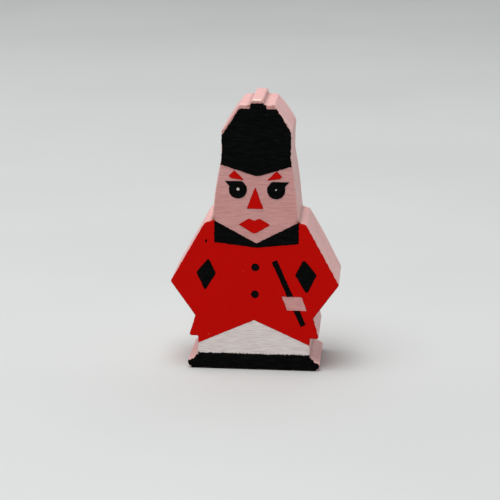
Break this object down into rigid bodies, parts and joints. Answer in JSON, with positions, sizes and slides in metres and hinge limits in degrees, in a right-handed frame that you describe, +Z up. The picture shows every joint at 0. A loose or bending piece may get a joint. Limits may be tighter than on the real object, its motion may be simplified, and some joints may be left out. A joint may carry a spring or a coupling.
{
  "type": "printed wooden game figure",
  "caption": "Flat wooden game figure with a tall hat, hands on hips and spread feet, painted all over and printed on its front, that stands on its own sole.",
  "frame": {"origin": "middle of the figure's footprint, on the floor it stands on", "axes": "+Z up the figure from sole to hat, -Y out of the printed front, +X to the right of someone who looks at the front"},
  "size_m": [0.02, 0.01, 0.0326],
  "materials": {
    "painted_wood": "satin pink paint over fine-grained hardwood",
    "black_ink": "satin screen-printing ink",
    "red_ink": "satin screen-printing ink",
    "white_ink": "thin matt screen-printing ink"
  },
  "bodies": {
    "root": {"wooden_body": "painted_wood", "hat_print": "black_ink", "brow_left": "red_ink", "brow_right": "red_ink", "eye_left": "black_ink", "eye_right": "black_ink", "eye_highlight_left": "white_ink", "eye_highlight_right": "white_ink", "nose_print": "red_ink", "lips_print": "red_ink", "collar_print": "black_ink", "coat_print": "red_ink", "sleeve_gap_left": "black_ink", "sleeve_gap_right": "black_ink", "button_upper": "black_ink", "button_lower": "black_ink", "baton_upper": "black_ink", "baton_lower": "black_ink", "trousers_print": "white_ink", "base_print": "black_ink"}
  },
  "joints": []
}
